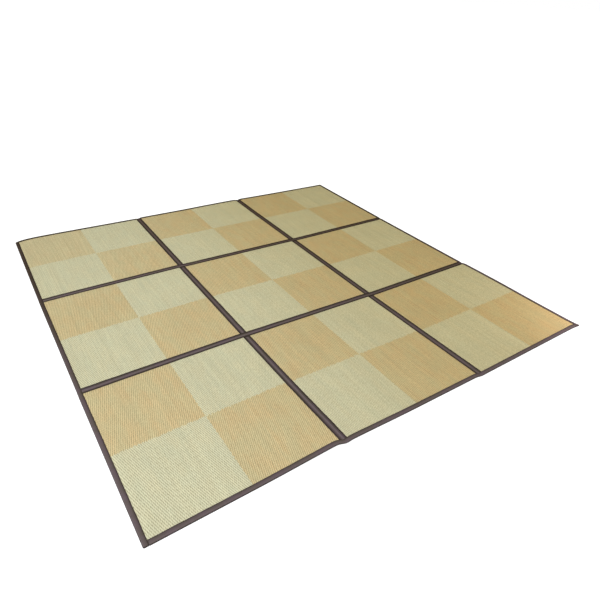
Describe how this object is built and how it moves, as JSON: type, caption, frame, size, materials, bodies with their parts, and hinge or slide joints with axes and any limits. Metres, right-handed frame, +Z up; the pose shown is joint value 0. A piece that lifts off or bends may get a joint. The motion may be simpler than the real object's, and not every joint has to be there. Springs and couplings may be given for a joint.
{
  "type": "tatami mat",
  "caption": "Square folding floor mat of woven rush panels in a checkered twill, joined and edged with dark cloth tape, lying open and slightly uneven.",
  "frame": {"origin": "on the floor, under the middle of the mat's bounding box", "axes": "+Z up, out of the mat's face; +X and +Y along its sides; the long tapes run along X and the short tapes along Y"},
  "size_m": [1.8086, 1.815, 0.0118],
  "materials": {
    "rush": "woven dried rush with a dull sheen",
    "binding_cloth": "matt woven cotton tape"
  },
  "bodies": {
    "root": {"rush_panel_r1_c1": "rush", "rush_panel_r1_c2": "rush", "rush_panel_r1_c3": "rush", "rush_panel_r2_c1": "rush", "rush_panel_r2_c2": "rush", "rush_panel_r2_c3": "rush", "rush_panel_r3_c1": "rush", "rush_panel_r3_c2": "rush", "rush_panel_r3_c3": "rush", "short_tape_r1_s1": "binding_cloth", "short_tape_r1_s2": "binding_cloth", "short_tape_r2_s1": "binding_cloth", "short_tape_r2_s2": "binding_cloth", "short_tape_r3_s1": "binding_cloth", "short_tape_r3_s2": "binding_cloth", "long_tape_s1": "binding_cloth", "long_tape_s2": "binding_cloth", "binding_left": "binding_cloth", "binding_right": "binding_cloth", "binding_near": "binding_cloth", "binding_far": "binding_cloth"}
  },
  "joints": []
}
